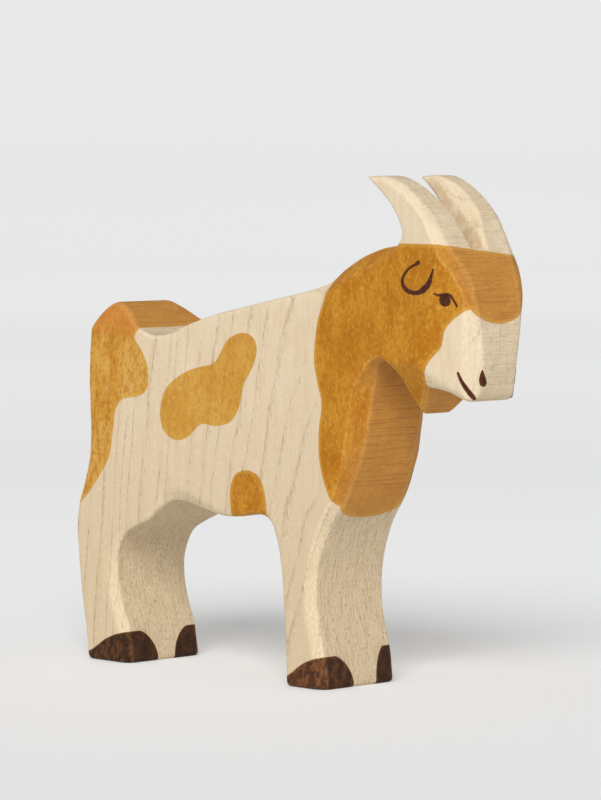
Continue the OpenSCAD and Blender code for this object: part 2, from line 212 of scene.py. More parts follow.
def smooth_curve(points, step, closed=False):
    """Points about step apart on a Catmull-Rom curve. Columns after the first two go along."""
    p = np.asarray(points, float)
    n = len(p)
    rows = []
    for i in range(n if closed else n - 1):
        if closed:
            a, b, c, d = (p[(i + k) % n] for k in (-1, 0, 1, 2))
        else:
            a, b, c, d = p[max(i - 1, 0)], p[i], p[i + 1], p[min(i + 2, n - 1)]
        count = max(1, round(math.dist(b[:2], c[:2]) / step))
        t = (np.arange(count) / count)[:, None]
        bend = (2 * a - 5 * b + 4 * c - d) * t**2 + (3 * b - a - 3 * c + d) * t**3
        rows.append(0.5 * (2 * b + (c - a) * t + bend))
    if not closed:
        rows.append(p[-1:])
    return np.concatenate(rows)


def waves(values, count, longest, rng):
    """A sum of a few sine waves with random phases, between about -1 and 1."""
    total = np.zeros_like(values)
    for k in range(count):
        length = longest / (1 + 0.7 * k)
        total += np.sin(values * 2 * math.pi / length + rng.uniform(0, 2 * math.pi))
    return total / count


def side_outline():
    """The closed side outline as rows of x, z and the two facet widths, with a knife's wander."""
    rows = []
    for run, following in zip(RUNS, RUNS[1:] + RUNS[:1]):
        rows.append(smooth_curve(run + following[:1], OUTLINE_STEP)[:-1])
    outline = np.concatenate(rows)
    rng = np.random.default_rng(SEED)
    along = np.arange(len(outline)) * OUTLINE_STEP
    for column in (2, 3):
        outline[:, column] += CHIP * waves(along, 4, 23.0, rng)
    outline[:, 2:] = np.maximum(outline[:, 2:], 0.35)
    return outline


class SideView:
    """Depth below the outline, facet widths and place along the outline, on a fine grid."""

    STEP = 0.2
    LOW = (-72.0, -6.0)
    COUNT = (731, 671)
    REACH = 6.0

    def __init__(self, outline):
        self.x = self.LOW[0] + self.STEP * np.arange(self.COUNT[0])
        self.z = self.LOW[1] + self.STEP * np.arange(self.COUNT[1])
        shape = tuple(self.COUNT)
        self.layers = np.zeros((4,) + shape)
        self.layers[0] = self.REACH
        self.layers[1:3] = 1.0
        after = np.roll(outline, -1, axis=0)
        along = 0.0
        for start, end in zip(outline, after):
            along = self.measure(start, end, along)
        self.layers[0] *= np.where(self.inside(outline, after), -1, 1)

    def window(self, axis, first, second):
        """Slice of the grid lines near a stretch of one axis."""
        lines = self.x if axis == 0 else self.z
        low = np.searchsorted(lines, min(first, second) - self.REACH)
        high = np.searchsorted(lines, max(first, second) + self.REACH)
        return slice(low, high)

    def measure(self, start, end, along):
        """Adds one stretch of the outline to the grid and returns the length up to its end."""
        wx = self.window(0, start[0], end[0])
        wz = self.window(1, start[1], end[1])
        way = end[:2] - start[:2]
        length = math.hypot(*way)
        px = self.x[wx, None] - start[0]
        pz = self.z[None, wz] - start[1]
        t = np.clip((px * way[0] + pz * way[1]) / length**2, 0, 1)
        away = np.hypot(px - t * way[0], pz - t * way[1])
        nearer = away < self.layers[0, wx, wz]
        found = [away, start[2] + t * (end[2] - start[2]), start[3] + t * (end[3] - start[3])]
        found.append(along + t * length)
        for layer, values in zip(self.layers, found):
            part = layer[wx, wz]
            part[nearer] = values[nearer]
        return along + length

    def inside(self, starts, ends):
        """True at the grid points inside the outline, by counting crossings along each row."""
        flips = np.zeros(self.COUNT, int)
        for start, end in zip(starts, ends):
            low, high = sorted((start[1], end[1]))
            rows = np.nonzero((self.z >= low) & (self.z < high))[0]
            if len(rows) == 0:
                continue
            t = (self.z[rows] - start[1]) / (end[1] - start[1])
            columns = np.searchsorted(self.x, start[0] + t * (end[0] - start[0]))
            np.add.at(flips, (columns, rows), 1)
        return np.cumsum(flips, axis=0) % 2 == 1

    def look_up(self, x, z):
        """The four layers at any points, interpolated."""
        u = np.clip((x - self.LOW[0]) / self.STEP, 0, self.COUNT[0] - 1.001)
        v = np.clip((z - self.LOW[1]) / self.STEP, 0, self.COUNT[1] - 1.001)
        i, j = u.astype(int), v.astype(int)
        s, t = u - i, v - j
        low = self.layers[:, i, j] * (1 - s) + self.layers[:, i + 1, j] * s
        high = self.layers[:, i, j + 1] * (1 - s) + self.layers[:, i + 1, j + 1] * s
        return low * (1 - t) + high * t


def beyond(facet, x, side, z):
    """How far points lie outside a flat facet. side is their distance from the middle plane."""
    at, out = facet
    size = math.sqrt(sum(c * c for c in out))
    return ((x - at[0]) * out[0] + (side - at[1]) * out[1] + (z - at[2]) * out[2]) / size


def faces_of_goat(view, x, y, z):
    """Signed distances to the figure's faces, negative inside, and the place along its edge."""
    depth, edge_cut, flank_cut, along = view.look_up(x, z)
    side = np.abs(y)
    in_beard = (x > BEARD_MIN_X) & (z < BEARD_MAX_Z)
    in_tail = (x < TAIL_MAX_X) & (z > TAIL_MIN_Z)
    cheek = beyond(CHEEK, x, side, z)
    beard = np.where(in_beard, beyond(BEARD_SIDE, x, side, z), OUTSIDE)
    tail = np.where(in_tail, beyond(TAIL_SIDE, x, side, z), OUTSIDE)
    flank = side - HALF_WIDTH
    inward = -np.maximum(np.maximum(flank, cheek), np.maximum(beard, tail))
    shaved = (1 + depth / flank_cut - inward / edge_cut) / np.hypot(1 / flank_cut, 1 / edge_cut)
    slope = (SLOT_TOP[1] - SLOT_FLOOR[1]) / (SLOT_TOP[0] - SLOT_FLOOR[0])
    gap_side = side - SLOT_FLOOR[1] - slope * (z - SLOT_FLOOR[0])
    gap = np.where(x > HORNS_MIN_X, -np.maximum(gap_side, SLOT_FLOOR[0] - z), OUTSIDE)
    eased = (HORN_EDGE + depth + gap) / math.sqrt(2)
    in_left_horn = (y > 0) & (z > SLOT_FLOOR[0])
    knifed = np.where(in_left_horn, beyond(LEFT_HORN_CUT, x, y, z), OUTSIDE)
    corner = beyond(MUZZLE_CORNER, x, side, z)
    return [gap, depth, flank, cheek, beard, tail, shaved, corner, eased, knifed], along


def soft_max(first, second, width):
    """The larger of two fields, with the crease between them rounded over about width."""
    overlap = np.maximum(width - np.abs(first - second), 0) / width
    return np.maximum(first, second) + overlap**2 * width / 4


def goat(view, x, y, z):
    """The field of the figure: negative in the wood, zero on its surface."""
    faces, _ = faces_of_goat(view, x, y, z)
    total = faces[0]
    for face in faces[1:]:
        total = soft_max(total, face, ROUNDING)
    return soft_max(total, -z, SOLE_ROUNDING)


def slopes(field, points, reach=0.12):
    """Gradient of the field at points."""
    parts = []
    for axis in range(3):
        shift = np.zeros(3)
        shift[axis] = reach
        ahead, behind = points + shift, points - shift
        parts.append((field(*ahead.T) - field(*behind.T)) / (2 * reach))
    return np.stack(parts, axis=1)


def unit(vectors):
    return vectors / np.maximum(np.linalg.norm(vectors, axis=1, keepdims=True), 1e-9)


# ---------------------------------------------------------------- dual contouring
GRID_STEP = 0.58
GRID_LOW = np.array([-69.4, -13.63, -0.84])
GRID_COUNT = (241, 48, 217)


def crossings(field, values, axis):
    """Where the surface crosses the grid lines of one axis: node, point, and inside-first flag."""
    first = [slice(None)] * 3
    second = [slice(None)] * 3
    first[axis] = slice(0, -1)
    second[axis] = slice(1, None)
    low = values[tuple(first)]
    high = values[tuple(second)]
    nodes = np.argwhere((low < 0) != (high < 0))
    f0 = low[tuple(nodes.T)]
    f1 = high[tuple(nodes.T)]
    solid_first = f0 < 0
    start = GRID_LOW + nodes * GRID_STEP
    way = np.zeros(3)
    way[axis] = GRID_STEP
    t0 = np.zeros(len(f0))
    t1 = np.ones(len(f0))
    for _ in range(4):
        margin = 0.05 * (t1 - t0)
        t = np.clip(t0 - f0 * (t1 - t0) / (f1 - f0), t0 + margin, t1 - margin)
        f = field(*(start + t[:, None] * way).T)
        same = (f < 0) == (f0 < 0)
        t0 = np.where(same, t, t0)
        f0 = np.where(same, f, f0)
        t1 = np.where(same, t1, t)
        f1 = np.where(same, f1, f)
    t = t0 - f0 * (t1 - t0) / (f1 - f0)
    return nodes, start + t[:, None] * way, solid_first


def dual_contour(field):
    """Vertices and outward-facing quads of the zero level of the field."""
    axes = [GRID_LOW[k] + GRID_STEP * np.arange(GRID_COUNT[k]) for k in range(3)]
    values = field(axes[0][:, None, None], axes[1][None, :, None], axes[2][None, None, :])
    cells, points, quads = [], [], []
    for axis in range(3):
        nodes, at, solid_first = crossings(field, values, axis)
        b = (axis + 1) % 3
        c = (axis + 2) % 3
        around = []
        for back_b, back_c in ((1, 1), (0, 1), (0, 0), (1, 0)):
            cell = nodes.copy()
            cell[:, b] -= back_b
            cell[:, c] -= back_c
            around.append(np.ravel_multi_index(cell.T, GRID_COUNT))
        around = np.stack(around, axis=1)
        quads.append(np.where(solid_first[:, None], around, around[:, ::-1]))
        cells.append(around)
        points.append(at)
    cells = np.concatenate(cells)
    used, which = np.unique(cells, return_inverse=True)
    which = which.reshape(cells.shape)
    vertices = fit_vertices(field, used, which, np.concatenate(points))
    quads = np.searchsorted(used, np.concatenate(quads))
    return vertices, quads


def fit_vertices(field, used, which, points):
    """One vertex per cell, where the tangent planes at the cell's crossings come closest."""
    normals = unit(slopes(field, points))
    offsets = np.sum(normals * points, axis=1)
    flat = which.ravel()
    repeat = np.repeat(np.arange(len(points)), 4)

    def gather(values):
        return np.bincount(flat, weights=values[repeat], minlength=len(used))

    count = gather(np.ones(len(points)))
    middle = np.stack([gather(points[:, k]) for k in range(3)], axis=1) / count[:, None]
    matrix = np.zeros((len(used), 3, 3))
    right = np.zeros((len(used), 3))
    for i in range(3):
        right[:, i] = gather(normals[:, i] * offsets)
        for j in range(3):
            matrix[:, i, j] = gather(normals[:, i] * normals[:, j])
    right -= np.einsum("nij,nj->ni", matrix, middle)
    matrix += 0.05 * np.eye(3)
    vertices = middle + np.linalg.solve(matrix, right[:, :, None])[:, :, 0]
    low = GRID_LOW + GRID_STEP * np.stack(np.unravel_index(used, GRID_COUNT), axis=1)
    vertices = np.clip(vertices, low + 0.03, low + GRID_STEP - 0.03)
    return settle(field, vertices)


def settle(field, vertices):
    """Moves vertices straight onto the surface."""
    for _ in range(2):
        slope = slopes(field, vertices)
        size = np.maximum(np.sum(slope**2, axis=1), 0.1)
        step = field(*vertices.T) / size
        vertices = vertices - np.clip(step, -0.3, 0.3)[:, None] * slope
    return vertices


class Skin:
    """A triangle mesh of part of the surface, with a normal and shading values at each vertex."""

    def __init__(self, vertices, triangles, normals, values):
        self.vertices = vertices
        self.triangles = triangles
        self.normals = normals
        self.values = values

    def compact(self):
        """Drops the vertices that no triangle uses."""
        used, triangles = np.unique(self.triangles, return_inverse=True)
        values = {name: v[used] for name, v in self.values.items()}
        triangles = triangles.reshape(-1, 3)
        return Skin(self.vertices[used], triangles, self.normals[used], values)


def cut_out(skin, region):
    """The part of a skin where region, a signed distance from the coat's edge, is positive."""
    inside = region(*skin.vertices.T)
    inside = np.where(np.abs(inside) < 0.03, 0.03, inside)  # no slivers beside the edge
    positive = inside[skin.triangles] > 0
    count = positive.sum(axis=1)
    whole = skin.triangles[count == 3]
    mixed = np.nonzero((count == 1) | (count == 2))[0]
    lone = count[mixed] == 1
    odd = np.where(lone, positive[mixed].argmax(axis=1), positive[mixed].argmin(axis=1))
    turned = np.stack([skin.triangles[mixed, (odd + k) % 3] for k in range(3)], axis=1)
    ends = np.concatenate([turned[:, [0, 1]], turned[:, [0, 2]]])
    pairs, which = np.unique(np.sort(ends, axis=1), axis=0, return_inverse=True)
    which = which.reshape(2, -1) + len(skin.vertices)
    a, b = pairs.T
    share = (inside[a] / (inside[a] - inside[b]))[:, None]

    def extend(values):
        return np.concatenate([values, values[a] * (1 - share) + values[b] * share])

    vertices = extend(skin.vertices)
    normals = unit(extend(skin.normals))
    values = {name: extend(v[:, None])[:, 0] for name, v in skin.values.items()}
    values["rim"] = np.maximum(extend(inside[:, None])[:, 0], 0)
    first, second = which
    tips = np.stack([turned[:, 0], first, second], axis=1)[lone]
    wide = ~lone
    bases = np.concatenate([
        np.stack([turned[:, 1], turned[:, 2], second], axis=1)[wide],
        np.stack([turned[:, 1], second, first], axis=1)[wide],
    ])
    triangles = np.concatenate([whole, tips, bases])
    return Skin(vertices, triangles, normals, values).compact()


def thicken(skin, outward, inward):
    """Closed shell round a skin, as vertices, faces, normals and shading values."""
    n = len(skin.vertices)
    vertices = np.concatenate([
        skin.vertices + skin.normals * outward, skin.vertices - skin.normals * inward,
    ])
    top = skin.triangles
    edges = np.concatenate([top[:, [0, 1]], top[:, [1, 2]], top[:, [2, 0]]])
    keys = np.sort(edges, axis=1)
    _, first, count = np.unique(keys, axis=0, return_index=True, return_counts=True)
    rim = edges[first[count == 1]]
    a, b = rim.T
    walls = np.concatenate([
        np.stack([b, a, a + n], axis=1), np.stack([b, a + n, b + n], axis=1),
    ])
    triangles = np.concatenate([top, top[:, ::-1] + n, walls])
    normals = np.concatenate([skin.normals, -skin.normals])
    values = {name: np.concatenate([v, v]) for name, v in skin.values.items()}
    return Skin(vertices, triangles, normals, values)


def add_piece(name, node, skin, material, normals=None):
    """Adds a piece that stands for one CAD node, from a mesh in millimetres."""
    mesh = bpy.data.meshes.new(name)
    mesh.from_pydata((skin.vertices * MM).tolist(), [], skin.triangles.tolist())
    for key, values in skin.values.items():
        layer = mesh.attributes.new(key, "FLOAT", "POINT")
        layer.data.foreach_set("value", values.astype(np.float32))
    mesh.polygons.foreach_set("use_smooth", np.ones(len(mesh.polygons), bool))
    if normals is not None:
        mesh.normals_split_custom_set_from_vertices(normals.tolist())
    mesh.materials.append(material)
    made = bpy.data.objects.new(name, mesh)
    bpy.context.scene.collection.objects.link(made)
    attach(made, "root")
    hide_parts(node)


# ---------------------------------------------------------------- regions of the coats
def within(loop, x, z):
    """Distance to the edge of a closed loop in the side view, positive inside it."""
    nearest = np.full(x.shape, np.inf)
    inside = np.zeros(x.shape, bool)
    for (ax, az), (bx, bz) in zip(loop, np.roll(loop, -1, axis=0)):
        wx, wz = bx - ax, bz - az
        size = wx * wx + wz * wz
        if size == 0:
            continue
        t = np.clip(((x - ax) * wx + (z - az) * wz) / size, 0, 1)
        nearest = np.minimum(nearest, np.hypot(x - ax - t * wx, z - az - t * wz))
        if az != bz:
            crosses = (z < az) != (z < bz)
            inside ^= crosses & (x < ax + (z - az) / (bz - az) * wx)
    return np.where(inside, nearest, -nearest)


def edged(corners_before, edge, corners_after=()):
    """Closed loop with straight corners and one smooth edge."""
    parts = [np.array(corners_before, float), smooth_curve(edge, 0.8)]
    if len(corners_after):
        parts.append(np.array(corners_after, float))
    return np.concatenate(parts)


def oval_front(oval, x, y, z):
    """Inside an oval drawn on the front view, for surfaces beyond its lowest x."""
    low_x, centre_z, half_y, half_z = oval
    out = np.hypot(y / half_y, (z - centre_z) / half_z)
    return np.minimum((1 - out) * half_z, x - low_x)


def head_region(x, y, z):
    neck = within(edged([[90, 41], [90, 112], [24.8, 112]], NECK_EDGE), x, z)
    muzzle = within(edged([[90, 60], [90, 93.6]], MUZZLE_EDGE, [[56, 60]]), x, z)
    stained = np.minimum(neck, -muzzle)
    for oval in (FORELOCK, CHEST_ARC):
        stained = np.maximum(stained, oval_front(oval, x, y, z))
    horn_edge = HORN_PAINT_Z - HORN_PAINT_SLOPE * y
    return np.where(x > 0, np.minimum(stained, horn_edge - z), OUTSIDE)


def tail_region(x, y, z):
    return within(edged([[-90, 36], [-90, 110], [-43.3, 110]], TAIL_EDGE), x, z)


def patch_region(loop, lowest_y, side):
    """Region of a patch on one flank, out to where the surface comes within lowest_y."""
    edge = smooth_curve(loop, 0.8, closed=True)

    def region(x, y, z):
        return np.minimum(within(edge, x, z), side * y - lowest_y)

    return region


def hoof_region(hoof, side):
    """Paint that rises from heel to toe on the flank and ends in a quarter oval on the front."""
    heel_x, toe_x, heel_z = (hoof[k] for k in ("heel_x", "toe_x", "heel_z"))
    toe_z = hoof["toe_z"][side]
    reach = hoof["reach"][side]
    middle = (heel_x + toe_x) / 2
    rise = smooth_curve([
        [heel_x - 6, heel_z - 1.2], [heel_x, heel_z],
        [middle, heel_z + 0.62 * (toe_z - heel_z)], [toe_x, toe_z - 0.4], [toe_x + 8, toe_z],
    ], 0.8)
    loop = np.concatenate([rise, [[toe_x + 8, -3], [heel_x - 6, -3]]])

    def region(x, y, z):
        out = side * y - HOOF_EDGE_Y
        oval = (1 - np.hypot(out / reach, z / toe_z)) * min(reach, toe_z)
        return np.minimum(within(loop, x, z), np.maximum(out, oval))

    return region


# ---------------------------------------------------------------- brushed lines
def lay_on(tree, flat, slant, side):
    """Points of a slanted plane [across, z] laid on the wood, with the wood's normals there."""
    turn = math.radians(slant)
    across = np.array([math.cos(turn), side * -math.sin(turn), 0])
    away = np.array([math.sin(turn), side * math.cos(turn), 0])
    hits, normals = [], []
    for u, z in flat:
        start = across * u + away * 120 + np.array([0, 0, z])
        hit, normal, _, _ = tree.ray_cast(Vector(start), Vector(-away))
        if hit is None:
            hit, normal, _, _ = tree.find_nearest(Vector(start - away * 60))
        hits.append(hit)
        normals.append(normal)
    return np.array(hits), np.array(normals)


def stroke_skin(tree, line, slant, side, rng):
    """A brushed line: a strip of varied width with round ends."""
    path = smooth_curve(line, 0.18)
    step = np.gradient(path[:, :2], axis=0)
    run = np.concatenate([[0], np.cumsum(np.hypot(*np.diff(path[:, :2], axis=0).T))])
    width = path[:, 2] * (1 + 0.06 * waves(run, 3, 3.1, rng)) / 2
    for distance, end in ((run, width[0]), (run[-1] - run, width[-1])):
        near = np.clip(distance / max(end, 0.1), 0, 1)
        width = width * np.sqrt(np.clip(1 - (1 - near) ** 2, 0.02, 1))
    normal = np.stack([-step[:, 1], step[:, 0]], axis=1)
    normal /= np.linalg.norm(normal, axis=1, keepdims=True)
    share = np.linspace(-1, 1, 7)
    flat = path[:, None, :2] + share[None, :, None] * width[:, None, None] * normal[:, None, :]
    rows, columns = flat.shape[:2]
    vertices, normals = lay_on(tree, flat.reshape(-1, 2), slant, side)
    rim = (width[:, None] * (1 - np.abs(share))).ravel()
    index = np.arange(rows * columns).reshape(rows, columns)
    a, b = index[:-1, :-1].ravel(), index[1:, :-1].ravel()
    c, d = index[1:, 1:].ravel(), index[:-1, 1:].ravel()
    triangles = np.concatenate([np.stack([a, b, c], axis=1), np.stack([a, c, d], axis=1)])
    return facing_out(vertices, triangles, normals, rim)


def dot_skin(tree, centre, radius, slant, side):
    """A round dot laid on the wood."""
    spokes = 32
    rings = 5
    turn = np.arange(spokes) * 2 * math.pi / spokes
    flat = [centre]
    for k in range(1, rings + 1):
        r = radius * k / rings
        flat += [(centre[0] + r * math.cos(t), centre[1] + r * math.sin(t)) for t in turn]
    vertices, normals = lay_on(tree, flat, slant, side)
    steps_in = 1 - np.arange(1, rings + 1) / rings
    rim = np.concatenate([[radius], np.repeat(radius * steps_in, spokes)])
    triangles = []
    for k in range(spokes):
        n = (k + 1) % spokes
        triangles.append([0, 1 + k, 1 + n])
        for ring in range(rings - 1):
            inner = 1 + ring * spokes
            outer = inner + spokes
            triangles += [[inner + k, outer + k, outer + n], [inner + k, outer + n, inner + n]]
    return facing_out(vertices, np.array(triangles), normals, rim)


def facing_out(vertices, triangles, normals, rim):
    """Skin whose triangles face the way of the wood's normals."""
    a, b, c = (vertices[triangles[:, k]] for k in range(3))
    way = np.cross(b - a, c - a)
    if np.sum(way * normals[triangles[:, 0]]) < 0:
        triangles = triangles[:, ::-1]
    return Skin(vertices, triangles, normals, {"rim": rim})


# ---------------------------------------------------------------- materials
def linear(*rgb):
    """Shader colour of an 8-bit screen colour."""
    parts = [c / 255 for c in rgb]
    return tuple(c / 12.92 if c <= 0.04045 else ((c + 0.055) / 1.055) ** 2.4 for c in parts) + (1,)


class Shader:
    """A material and short calls that add nodes to it."""

    def __init__(self, name):
        self.material = bpy.data.materials.new(name)
        self.material.use_nodes = True
        self.tree = self.material.node_tree
        self.surface = self.tree.nodes["Principled BSDF"]

    def put(self, socket, value):
        if isinstance(value, bpy.types.NodeSocket):
            self.tree.links.new(value, socket)
        else:
            socket.default_value = value

    def node(self, kind, inputs=None, **settings):
        made = self.tree.nodes.new(kind)
        for key, value in settings.items():
            setattr(made, key, value)
        for key, value in (inputs or {}).items():
            self.put(made.inputs[key], value)
        return made

    def math(self, operation, *values):
        made = self.node("ShaderNodeMath", dict(enumerate(values)), operation=operation)
        return made.outputs[0]

    def millimetres(self):
        """The place on the object, in millimetres."""
        place = self.node("ShaderNodeTexCoord").outputs["Object"]
        made = self.node("ShaderNodeVectorMath", {0: place, "Scale": 1000.0}, operation="SCALE")
        return made.outputs[0]

    def bump(self, height, depth):
        """Relief of a depth in millimetres on the surface."""
        inputs = {"Height": height, "Distance": depth * MM, "Strength": 1.0}
        self.put(self.surface.inputs["Normal"], self.node("ShaderNodeBump", inputs).outputs[0])

    def value(self, name):
        """A shading value stored at the mesh's vertices."""
        return self.node("ShaderNodeAttribute", attribute_name=name).outputs["Fac"]

    def spread(self, value, low, high, to_low=0.0, to_high=1.0, smooth=True):
        kind = "SMOOTHSTEP" if smooth else "LINEAR"
        inputs = {"Value": value, "From Min": low, "From Max": high}
        inputs.update({"To Min": to_low, "To Max": to_high})
        return self.node("ShaderNodeMapRange", inputs, interpolation_type=kind).outputs[0]

    def mix(self, share, first, second, blend="MIX"):
        made = self.node("ShaderNodeMix", data_type="RGBA", blend_type=blend)
        self.put(made.inputs[0], share)
        self.put(made.inputs[6], first)
        self.put(made.inputs[7], second)
        return made.outputs[2]

    def stretched(self, point, scale):
        """The point with each axis scaled."""
        made = self.node("ShaderNodeVectorMath", {0: point, 1: scale}, operation="MULTIPLY")
        return made.outputs[0]

    def noise(self, point, scale, detail=2.0, rough=0.5):
        """Noise of one feature per unit of the scaled point."""
        inputs = {"Vector": self.stretched(point, scale), "Scale": 1.0, "Detail": detail}
        inputs["Roughness"] = rough
        return self.node("ShaderNodeTexNoise", inputs).outputs["Fac"]

    def ramp(self, value, stops):
        made = self.node("ShaderNodeValToRGB", {"Fac": value})
        elements = made.color_ramp.elements
        while len(elements) < len(stops):
            elements.new(0.5)
        for element, (place, level) in zip(elements, stops):
            element.position = place
            element.color = (level, level, level, 1)
        return made.outputs["Color"]


TREE_AT = (40.0, 47.0, 60.0)    # a point of the tree's pith, far off the board's left face
TREE_LEAN = 0.16                # how far the pith leans in y for each millimetre of height
RING = 3.2                      # width of one year's growth


def wood_figure_values(s):
    """What the wood itself shows, the same under bare wood and under stain."""
    point = s.millimetres()
    axes = s.node("ShaderNodeSeparateXYZ", {0: point}).outputs
    x, y, z = axes
    sway_x = s.spread(s.noise(point, (0.035, 0.035, 0.02), 1.0), 0.25, 0.75, -1.6, 1.6, False)
    sway_y = s.spread(s.noise(point, (0.11, 0.08, 0.05), 2.0), 0.25, 0.75, -0.7, 0.7, False)
    rise = s.math("MULTIPLY", s.math("SUBTRACT", z, TREE_AT[2]), TREE_LEAN)
    dx = s.math("ADD", s.math("SUBTRACT", x, TREE_AT[0]), sway_x)
    dy = s.math("ADD", s.math("SUBTRACT", s.math("SUBTRACT", y, TREE_AT[1]), rise), sway_y)
    radius = s.math("SQRT", s.math("ADD", s.math("MULTIPLY", dx, dx), s.math("MULTIPLY", dy, dy)))
    spacing = s.node("ShaderNodeTexNoise", {"W": s.math("MULTIPLY", radius, 0.14), "Scale": 1.0},
                     noise_dimensions="1D").outputs["Fac"]
    years = s.math("ADD", s.math("DIVIDE", radius, RING), s.math("MULTIPLY", spacing, 1.3))
    year = s.math("FRACT", years)
    cut = s.value("cut")
    line = s.ramp(year, [
        (0.0, 0.4), (0.035, 0.0), (0.6, 0.0), (0.86, 0.16), (0.925, 0.85), (0.955, 1.0), (1.0, 0.5),
    ])
    fade = s.spread(s.noise(point, (0.22, 0.22, 0.05), 2.0), 0.36, 0.62, 0.2, 1.0)
    dash = s.spread(s.noise(point, (1.3, 1.3, 0.42), 1.0), 0.35, 0.6, 0.4, 1.0)
    line = s.math("MULTIPLY", line, s.math("MULTIPLY", fade, dash))
    line = s.math("MULTIPLY", line, s.spread(cut, 0.2, 0.9, 1.0, 0.2))
    line = s.math("MULTIPLY", line, s.spread(s.value("crossing"), 0.02, 0.1))
    pore = s.spread(s.noise(point, (2.6, 2.6, 0.6), 0.0), 0.62, 0.74)
    pore = s.math("MULTIPLY", pore, s.spread(year, 0.62, 0.92, 0.12, 1.0))
    pore = s.math("MULTIPLY", pore, s.spread(s.value("crossing"), 0.02, 0.1, 0.15, 1.0))
    along = s.value("along")
    stripe_at = s.node("ShaderNodeCombineXYZ", {0: y, 1: along}).outputs[0]
    stripe = s.spread(s.noise(stripe_at, (1.5, 0.13, 1.0), 2.0, 0.6), 0.48, 0.66)
    chip = s.spread(s.noise(stripe_at, (3.2, 0.9, 1.0), 1.0, 0.5), 0.58, 0.7)
    teeth = s.spread(s.noise(stripe_at, (0.05, 1.7, 1.0), 3.0, 0.65), 0.48, 0.66)
    tooth = s.spread(s.noise(stripe_at, (0.45, 3.0, 1.0), 1.0, 0.5), 0.6, 0.72)
    high = s.spread(z, 42.0, 50.0)
    low_cut = s.math("MULTIPLY", cut, s.math("SUBTRACT", 1.0, high))
    high_cut = s.math("MULTIPLY", cut, high)
    return dict(
        z=z, line=line, pore=pore, cut=cut, shaved=s.value("shaved"),
        stripe=s.math("MULTIPLY", stripe, low_cut), chip=s.math("MULTIPLY", chip, low_cut),
        saw=s.math("MULTIPLY", teeth, high_cut), tooth=s.math("MULTIPLY", tooth, high_cut),
        streak=s.noise(point, (0.9, 0.9, 0.05), 3.0, 0.6),
        fleck=s.noise(point, (2.4, 2.4, 0.9), 1.0, 0.5),
        felt=s.noise(point, (1.3, 1.3, 0.9), 3.0, 0.6),
        patch=s.noise(point, (0.55, 0.55, 0.4), 2.0, 0.5),
        blotch=s.noise(point, (0.16, 0.16, 0.1), 3.0, 0.55),
        edge=s.value("ridge"),
    )


def finish_wood(s, w, colour, roughness, bump_depth):
    """Connects colour, roughness and the fine relief of the grain."""
    rough = s.spread(w["felt"], 0.3, 0.7, roughness - 0.06, roughness + 0.08, False)
    relief = s.math("MULTIPLY", w["streak"], 0.3)
    relief = s.math("ADD", relief, s.math("MULTIPLY", w["fleck"], 0.5))
    for key, depth in (("line", 0.4), ("pore", 0.7), ("saw", 0.8), ("stripe", 0.8), ("chip", 0.8)):
        relief = s.math("SUBTRACT", relief, s.math("MULTIPLY", w[key], depth))
    s.bump(relief, bump_depth)
    s.put(s.surface.inputs["Base Color"], colour)
    s.put(s.surface.inputs["Roughness"], rough)
    s.surface.inputs["Specular IOR Level"].default_value = 0.12
    return s.material


def layered(s, colour, layers):
    """Mixes each (share, strength, colour) of layers over a first colour."""
    for share, strength, over in layers:
        colour = s.mix(s.math("MULTIPLY", share, strength), colour, over)
    return colour


def bare_wood():
    s = Shader("bare_wood")
    w = wood_figure_values(s)
    broken = s.spread(w["fleck"], 0.35, 0.6, 0.25, 1.0)
    # Painted shade: the walls between the horns are drawn darker in patches.
    painted_horn_gap_shade = s.math("MULTIPLY", s.value("horn_gap_shade"), s.spread(w["patch"], 0.3, 0.6))
    # Painted shade: the bare wood is drawn darker towards the feet and lighter towards the head.
    colour = s.mix(s.spread(w["z"], 15.0, 100.0), linear(204, 184, 152), linear(219, 201, 172))
    colour = layered(s, colour, [
        (s.spread(w["blotch"], 0.4, 0.65), 0.6, linear(209, 187, 154)),
        (s.spread(w["streak"], 0.4, 0.75), 0.3, linear(196, 171, 136)),
        (s.spread(w["fleck"], 0.55, 0.75), 0.4, linear(230, 216, 190)),
        (w["line"], 0.6, linear(164, 139, 103)),
        (w["pore"], 0.4, linear(150, 123, 88)),
        # Painted highlight: the shaved facets are drawn lighter, broken up by flecks.
        (s.math("MULTIPLY", w["shaved"], broken), 0.35, linear(230, 213, 178)),
        (painted_horn_gap_shade, 0.35, linear(176, 140, 100)),
        (w["stripe"], 0.3, linear(170, 146, 110)),
        (w["chip"], 0.45, linear(146, 120, 84)),
        (w["saw"], 0.14, linear(166, 142, 110)),
        (w["tooth"], 0.4, linear(150, 124, 92)),
        # Painted highlight: the crests of the facets are drawn lighter, broken up by flecks.
        (s.math("MULTIPLY", w["edge"], broken), 0.35, linear(236, 220, 190)),
    ])
    return finish_wood(s, w, colour, 0.62, 0.08)


